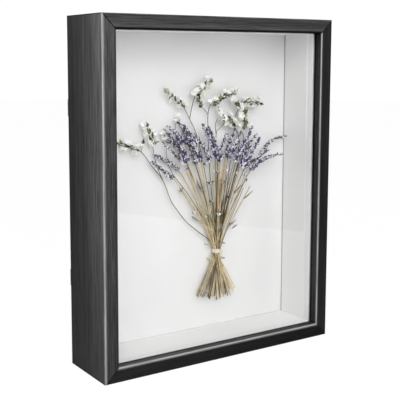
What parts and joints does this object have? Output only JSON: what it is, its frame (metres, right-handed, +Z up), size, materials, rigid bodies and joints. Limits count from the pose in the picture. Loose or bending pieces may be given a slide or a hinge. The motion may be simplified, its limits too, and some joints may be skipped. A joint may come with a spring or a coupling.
{
  "type": "shadow box",
  "caption": "Deep black wood shadow box with a glazed front, white lining and a removable back held by turn buttons, displaying a dried lavender and statice bouquet.",
  "frame": {"origin": "centre of the bottom face that the box stands on, midway between its front and back", "axes": "+Z up the long side, -Y towards the viewer (glass side), +Y towards the wall, +X to the viewer's right"},
  "size_m": [0.302, 0.083, 0.378],
  "materials": {
    "black_wood": "satin",
    "clear_glass": "polished",
    "liner_board": "matte",
    "backing_paper": "matte",
    "foam_board": "matte",
    "hardboard": "matte",
    "nickel_steel": "satin",
    "brassed_steel": "satin",
    "bright_steel": "satin",
    "pin_wire": "matte",
    "cotton_twine": "matte",
    "lavender_stem": "matte",
    "lavender_bloom": "matte",
    "statice_stem": "matte",
    "statice_bloom": "matte"
  },
  "bodies": {
    "frame": {"rail_bottom": "black_wood", "rail_left": "black_wood", "rail_top": "black_wood", "rail_right": "black_wood", "corner_v_nails": "bright_steel", "glass_pane": "clear_glass", "liner_bottom": "liner_board", "liner_left": "liner_board", "liner_top": "liner_board", "liner_right": "liner_board", "turn_button_screws": "nickel_steel", "sawtooth_hanger_top": "brassed_steel", "sawtooth_hanger_right": "brassed_steel", "hanger_nails": "brassed_steel"},
    "back_assembly": {"back_panel": "hardboard", "pin_board": "foam_board", "backing_card": "backing_paper", "bouquet_pins": "pin_wire", "bouquet_tie": "cotton_twine", "lavender_stems": "lavender_stem", "lavender_spikes": "lavender_bloom", "statice_stems": "statice_stem", "statice_flowers": "statice_bloom"},
    "turn_button_bottom_left": {"turn_button_bottom_left": "nickel_steel"},
    "turn_button_bottom_right": {"turn_button_bottom_right": "nickel_steel"},
    "turn_button_left_upper": {"turn_button_left_upper": "nickel_steel"},
    "turn_button_left_lower": {"turn_button_left_lower": "nickel_steel"},
    "turn_button_top_right": {"turn_button_top_right": "nickel_steel"},
    "turn_button_top_left": {"turn_button_top_left": "nickel_steel"},
    "turn_button_right_lower": {"turn_button_right_lower": "nickel_steel"},
    "turn_button_right_upper": {"turn_button_right_upper": "nickel_steel"}
  },
  "joints": [
    {"name": "back_slide", "type": "slide", "parent": "frame", "child": "back_assembly", "axis": [0, 1, 0], "range_m": [0, 0.08]},
    {"name": "turn_button_bottom_left_turn", "type": "hinge", "parent": "frame", "child": "turn_button_bottom_left", "pos_m": [-0.075, 0.04, 0.005], "axis": [0, -1, 0], "range_deg": [0, 90]},
    {"name": "turn_button_bottom_right_turn", "type": "hinge", "parent": "frame", "child": "turn_button_bottom_right", "pos_m": [0.075, 0.04, 0.005], "axis": [0, 1, 0], "range_deg": [0, 90]},
    {"name": "turn_button_left_upper_turn", "type": "hinge", "parent": "frame", "child": "turn_button_left_upper", "pos_m": [-0.146, 0.04, 0.289], "axis": [0, -1, 0], "range_deg": [0, 90]},
    {"name": "turn_button_left_lower_turn", "type": "hinge", "parent": "frame", "child": "turn_button_left_lower", "pos_m": [-0.146, 0.04, 0.089], "axis": [0, 1, 0], "range_deg": [0, 90]},
    {"name": "turn_button_top_right_turn", "type": "hinge", "parent": "frame", "child": "turn_button_top_right", "pos_m": [0.075, 0.04, 0.373], "axis": [0, -1, 0], "range_deg": [0, 90]},
    {"name": "turn_button_top_left_turn", "type": "hinge", "parent": "frame", "child": "turn_button_top_left", "pos_m": [-0.075, 0.04, 0.373], "axis": [0, 1, 0], "range_deg": [0, 90]},
    {"name": "turn_button_right_lower_turn", "type": "hinge", "parent": "frame", "child": "turn_button_right_lower", "pos_m": [0.146, 0.04, 0.089], "axis": [0, -1, 0], "range_deg": [0, 90]},
    {"name": "turn_button_right_upper_turn", "type": "hinge", "parent": "frame", "child": "turn_button_right_upper", "pos_m": [0.146, 0.04, 0.289], "axis": [0, 1, 0], "range_deg": [0, 90]}
  ]
}
